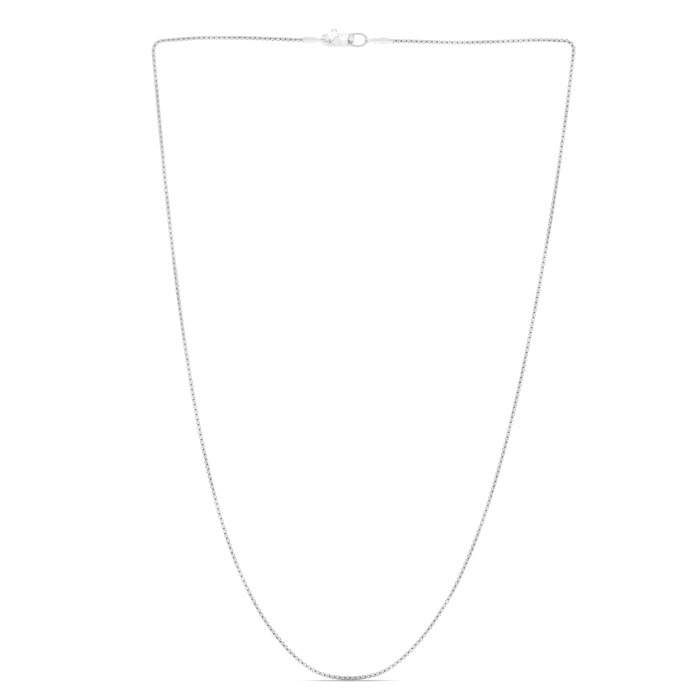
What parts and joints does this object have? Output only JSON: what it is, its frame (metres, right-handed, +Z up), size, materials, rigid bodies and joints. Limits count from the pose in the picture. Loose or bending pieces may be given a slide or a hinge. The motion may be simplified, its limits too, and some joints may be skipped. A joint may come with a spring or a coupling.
{
  "type": "wheat chain necklace with lobster clasp",
  "caption": "Fine wheat chain necklace, hanging over two pegs, with tube end caps, a sprung lobster clasp and an oval jump ring in its top run.",
  "frame": {"origin": "the mount hang: midway between the two pegs that the necklace hangs over, at the height of its top run", "axes": "+X to the viewer's right along the top run, +Y away from the viewer, +Z up; the necklace hangs in the XZ plane"},
  "size_m": [0.1067, 0.0043, 0.1638],
  "materials": {
    "chain_silver": "polished wire links, bright and white",
    "cap_silver": "polished tube with a soldered loop, bright and white",
    "clasp_silver": "polished casting with soft edges, bright and white",
    "lever_silver": "polished stamping, bright and white",
    "ring_silver": "polished round wire, bright and white"
  },
  "bodies": {
    "necklace": {"chain_left": "chain_silver", "chain_right": "chain_silver", "end_cap_left": "cap_silver", "end_cap_right": "cap_silver", "clasp_body": "clasp_silver", "clasp_rivet": "clasp_silver", "jump_ring": "ring_silver"},
    "lever": {"clasp_lever": "lever_silver"}
  },
  "joints": [
    {"name": "lever_hinge", "type": "hinge", "parent": "necklace", "child": "lever", "pos_m": [-0.00781, 0.00046, -0.00042], "axis": [0, -0.766, -0.6428], "range_deg": [0, 18], "stiffness_Nm_per_rad": 0.006, "springref_deg": -20.05}
  ]
}
